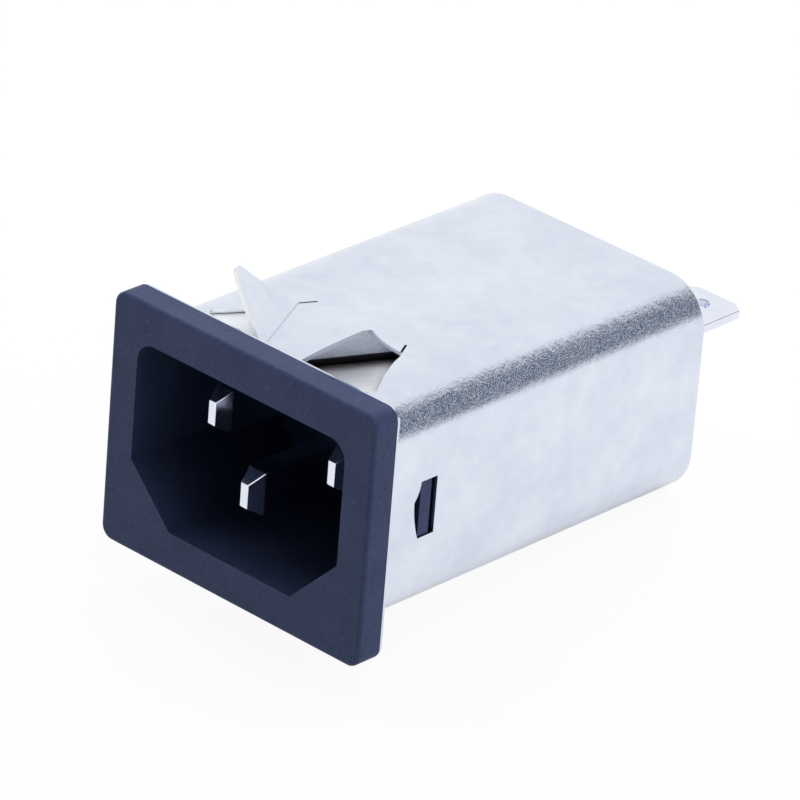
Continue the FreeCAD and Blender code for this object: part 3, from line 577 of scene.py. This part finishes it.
def plated_contact():
    """Bright nickel plating with faint stamping streaks along the piece, and painted shade in its
    creases.
    """
    material, tree, shader = new_material("plated_contact", Metallic=1.0)
    streaks = noise(tree, STREAK_SIZE, stretch=STREAK_STRETCH)
    clouds = ramp(tree, noise(tree, PLATING_CLOUDS, detail=3.0), *NOISE_SPAN)
    base = painted_crease_shade(tree, blend(tree, clouds, PLATING_DARK, PLATING_LIGHT), **CONTACT_CREASE_SHADE)
    roughness = ramp(tree, streaks, *NOISE_SPAN, *PLATING_ROUGHNESS)
    relief = bump(tree, streaks, STREAK_DEEP)
    feed_shader(tree, shader, Base_Color=base, Roughness=roughness, Normal=relief)
    return material


def liner_sheet():
    """Off-white insulating film with a faint fibre, with painted shade in its creases under the right
    claws and painted light on the left.
    """
    material, tree, shader = new_material("liner_sheet", Specular_IOR_Level=0.4)
    base = grained(tree, shader, size=0.3 * MM, stretch=(1.0, 4.0, 1.0), relief=0.006 * MM,
                   rough=(0.45, 0.6), dark=(0.74, 0.755, 0.785), light=(0.80, 0.815, 0.84))
    shaded = painted_crease_shade(tree, base, **LINER_CREASE_SHADE)
    feed_shader(tree, shader, Base_Color=blend(tree, on_right(tree), LINER_LEFT_PAINTED_LIGHT, shaded))
    return material


def board_laminate():
    """Bare paper laminate: tan, with fine fibres."""
    material, tree, shader = new_material("board_laminate", Specular_IOR_Level=0.4)
    grained(tree, shader, size=0.25 * MM, stretch=(5.0, 1.0, 1.0), relief=0.01 * MM,
            rough=(0.45, 0.6), dark=(0.46, 0.31, 0.15), light=(0.56, 0.40, 0.22))
    return material


def coated_ferrite():
    """Green epoxy coat on the ring core, slightly uneven as a dipped coat is."""
    material, tree, shader = new_material("coated_ferrite", Specular_IOR_Level=0.5)
    grained(tree, shader, size=1.2 * MM, relief=0.05 * MM,
            rough=(0.28, 0.42), dark=(0.055, 0.16, 0.10), light=(0.09, 0.23, 0.15))
    return material


def divider_sheet():
    """Cream pressed board between the two windings."""
    material, tree, shader = new_material("divider_sheet", Specular_IOR_Level=0.3)
    grained(tree, shader, size=0.2 * MM, detail=4.0, relief=0.012 * MM,
            rough=(0.55, 0.7), dark=(0.68, 0.65, 0.53), light=(0.79, 0.76, 0.65))
    return material


def enamelled_copper():
    """Copper wire under clear enamel, deeper where the enamel is thicker."""
    material, tree, shader = new_material("enamelled_copper", Metallic=1.0,
                                          Coat_Weight=0.6, Coat_Roughness=0.12)
    grained(tree, shader, size=0.9 * MM, relief=0.01 * MM,
            rough=(0.2, 0.32), dark=(0.50, 0.20, 0.08), light=(0.68, 0.32, 0.15))
    return material


def bare_leads(tree, shader, base, lead):
    """Tinned wire where the mask is 1, and the case's own colour elsewhere."""
    feed_shader(tree, shader, Base_Color=blend(tree, lead, base, LEAD_COLOUR), Metallic=lead)


def below(tree, limit):
    """1 under that height."""
    return math_node(tree, "LESS_THAN", height(tree), limit)


def film_case():
    """Moulded yellow capacitor case on tinned leads."""
    material, tree, shader = new_material("film_case", Specular_IOR_Level=0.5)
    base = grained(tree, shader, size=1.6 * MM, relief=0.02 * MM,
                   rough=(0.3, 0.42), dark=(0.66, 0.46, 0.05), light=(0.80, 0.60, 0.11))
    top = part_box("x_capacitor")[1].z
    bare_leads(tree, shader, base, below(tree, top - FILM_TALL - CASE_MARGIN))
    return material


def ceramic_coat():
    """Dipped blue coat of the disc capacitors, on tinned leads."""
    material, tree, shader = new_material("ceramic_coat", Specular_IOR_Level=0.5)
    base = grained(tree, shader, size=0.9 * MM, relief=0.04 * MM,
                   rough=(0.3, 0.42), dark=(0.04, 0.15, 0.42), light=(0.08, 0.24, 0.56))
    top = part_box("line_y_capacitor")[1].z
    bare_leads(tree, shader, base, below(tree, top - DISC_DIAMETER - CASE_MARGIN))
    return material


def resistor_coat():
    """Lacquered resistor body on tinned leads at its two ends."""
    material, tree, shader = new_material("resistor_coat", Specular_IOR_Level=0.5)
    base = grained(tree, shader, size=0.7 * MM, relief=0.02 * MM,
                   rough=(0.4, 0.55), dark=(0.58, 0.47, 0.29), light=(0.72, 0.61, 0.42))
    low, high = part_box("bleed_resistor")
    centre = (low.x + high.x) / 2
    away = unsigned(tree, math_node(tree, "SUBTRACT", across(tree), centre))
    lead = math_node(tree, "GREATER_THAN", away, RESISTOR_LENGTH / 2 + CASE_MARGIN)
    bare_leads(tree, shader, base, lead)
    return material


def dress_nodes():
    """Gives every node the finish of its material slot."""
    makers = (tinned_steel, black_plastic, plated_contact, liner_sheet, board_laminate, coated_ferrite,
              divider_sheet, enamelled_copper, film_case, ceramic_coat, resistor_coat)
    finishes = {maker.__name__: maker() for maker in makers}
    for subpart in frame["record"]["subparts"]:
        node = frame["nodes"][subpart["node"]]
        node.material_slots[0].material = finishes[subpart["material_slot"]]


# Contacts with rounded edges

def softened(solid, name):
    """A copy of the solid's mesh with its sharp edges rounded over, in the solid's finish."""
    shape = bmesh.new()
    shape.from_mesh(solid.data)
    bmesh.ops.remove_doubles(shape, verts=shape.verts, dist=WELD_APART)
    bmesh.ops.dissolve_limit(shape, angle_limit=FLAT_TURN, verts=shape.verts, edges=shape.edges)
    sharp = [edge for edge in shape.edges if edge.calc_face_angle() > SHARP_TURN]
    bmesh.ops.bevel(shape, geom=sharp, offset=SOFT_EDGE, segments=SOFT_STEPS, profile=ROUND_PROFILE,
                    affect="EDGES", clamp_overlap=True)
    soft = bpy.data.meshes.new(name)
    shape.to_mesh(soft)
    shape.free()
    for face in soft.polygons:
        face.use_smooth = face.area < FLAT_AREA
    soft.materials.append(solid.material_slots[0].material)
    return soft


def soften_contacts():
    """The blades and tabs again, with their stamped edges rounded over."""
    for name in SOFT_NODES:
        soft = softened(frame["nodes"][name], name + "_soft")
        piece = bpy.data.objects.new(name + "_soft", soft)
        bpy.context.scene.collection.objects.link(piece)
        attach(piece, "root")
        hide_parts(name)


# Camera, floor and light

def set_camera():
    """The photograph's viewpoint: turned about the part, rolled, and moved aside."""
    back = Vector((math.sin(CAMERA_AZIMUTH) * math.cos(CAMERA_ELEVATION),
                   -math.cos(CAMERA_AZIMUTH) * math.cos(CAMERA_ELEVATION),
                   math.sin(CAMERA_ELEVATION)))
    flat = Vector((math.cos(CAMERA_AZIMUTH), math.sin(CAMERA_AZIMUTH), 0))
    upward = back.cross(flat)
    right = flat * math.cos(CAMERA_ROLL) - upward * math.sin(CAMERA_ROLL)
    up = flat * math.sin(CAMERA_ROLL) + upward * math.cos(CAMERA_ROLL)
    eye = right * CAMERA_ASIDE + up * CAMERA_RISE + back * CAMERA_DISTANCE
    lens = bpy.data.cameras.new("camera")
    lens.lens = CAMERA_LENS
    lens.sensor_width = SENSOR_WIDTH
    camera = bpy.data.objects.new("camera", lens)
    camera.matrix_world = Matrix.Translation(eye) @ Matrix((right, up, back)).transposed().to_4x4()
    bpy.context.scene.collection.objects.link(camera)
    bpy.context.scene.camera = camera


def resting_plane():
    """A point and the upward normal of the floor that the part leans on: claw tips and rear edge."""
    points = [vertex.co for vertex in frame["nodes"]["can"].data.vertices]
    tip = min(points, key=lambda point: point.z)
    behind = [point for point in points if point.y > tip.y + REST_APART]
    slope = min((point.z - tip.z) / (point.y - tip.y) for point in behind)
    return Vector((0, tip.y, tip.z)), Vector((0, -slope, 1)).normalized()


def floor_material():
    """White sweep: as bright as paper where it is seen, and still shaded by the part, with painted
    shade close to the part in what the part mirrors of it.
    """
    material = bpy.data.materials.new("white_sweep")
    material.use_nodes = True
    tree = material.node_tree
    tree.nodes.clear()
    path = add(tree, "ShaderNodeLightPath").outputs
    seen = math_node(tree, "MAXIMUM", path["Is Camera Ray"], path["Is Transmission Ray"])
    openness = add(tree, "ShaderNodeAmbientOcclusion", {"Distance": FLOOR_SHADE_REACH},
                   samples=FLOOR_SHADE_SAMPLES).outputs["AO"]
    shade = ramp(tree, openness, 0.0, 1.0, FLOOR_SHADE_LEAST)
    mirrored = combine(tree, "MULTIPLY", path["Is Glossy Ray"], MIRRORED_GLOW, shade)
    share = choose(tree, seen, mirrored, FLOOR_GLOW)
    tone = blend(tree, path["Is Diffuse Ray"], FLOOR_WHITE, FLOOR_GREY)
    paper = add(tree, "ShaderNodeBsdfDiffuse", {"Color": tone}).outputs["BSDF"]
    glow = add(tree, "ShaderNodeEmission", {"Strength": 1.0}).outputs["Emission"]
    mixed = add(tree, "ShaderNodeMixShader", {0: share, 1: paper, 2: glow})
    add(tree, "ShaderNodeOutputMaterial", {"Surface": mixed.outputs["Shader"]})
    return material


def lay_floor():
    """A wide round sheet of paper under the part, tilted as the part leans."""
    point, normal = resting_plane()
    turn = Vector((0, 0, 1)).rotation_difference(normal).to_matrix()
    angles = [2 * math.pi * side / FLOOR_SIDES for side in range(FLOOR_SIDES)]
    spokes = [turn @ Vector((math.cos(angle), math.sin(angle), 0)) for angle in angles]
    sheet = bpy.data.meshes.new("floor")
    sheet.from_pydata([point + spoke * FLOOR_RADIUS for spoke in spokes], [], [range(FLOOR_SIDES)])
    sheet.materials.append(floor_material())
    floor = bpy.data.objects.new("floor", sheet)
    bpy.context.scene.collection.objects.link(floor)


def toward(tree, side, start, end, low=0.0, high=1.0):
    """A level that goes smoothly from low to high as the direction turns towards that side."""
    direction = add(tree, "ShaderNodeTexCoord").outputs["Generated"]
    inputs = {0: direction, 1: side.normalized()}
    nearness = add(tree, "ShaderNodeVectorMath", inputs, operation="DOT_PRODUCT").outputs["Value"]
    return ramp(tree, nearness, start, end, low, high, "SMOOTHSTEP")


def light_world():
    """Soft light from two sides, white walls with unlit patches to mirror, white behind the part."""
    world = bpy.data.worlds.new("studio")
    world.use_nodes = True
    world.cycles.sampling_method = "NONE"
    bpy.context.scene.world = world
    tree = world.node_tree
    tree.nodes.clear()
    path = add(tree, "ShaderNodeLightPath").outputs
    overhead = toward(tree, LIGHT_SIDE, LIGHT_START, LIGHT_FULL, SHADE_LEVEL, LIGHT_LEVEL)
    left = toward(tree, LEFT_SIDE, LEFT_START, LEFT_FULL, 0.0, LEFT_LEVEL)
    seen = combine(tree, "MAXIMUM", path["Is Camera Ray"], path["Is Transmission Ray"],
                   path["Is Glossy Ray"])
    strength = choose(tree, seen, math_node(tree, "ADD", overhead, left), 1.0)
    walls = WHITE
    for side, dark, core, edge in ((UNLIT_SIDE, UNLIT_COLOUR, UNLIT_CORE, UNLIT_EDGE),
                                   (ABOVE_SIDE, ABOVE_COLOUR, ABOVE_CORE, ABOVE_EDGE)):
        patch = toward(tree, side, math.cos(edge), math.cos(core))
        patch = math_node(tree, "MULTIPLY", patch, path["Is Glossy Ray"])
        walls = blend(tree, patch, walls, dark)
    background = add(tree, "ShaderNodeBackground", {"Color": walls, "Strength": strength})
    add(tree, "ShaderNodeOutputWorld", {"Surface": background.outputs["Background"]})


bpy.context.scene.view_settings.view_transform = "Standard"
dress_nodes()
soften_contacts()
set_camera()
lay_floor()
light_world()
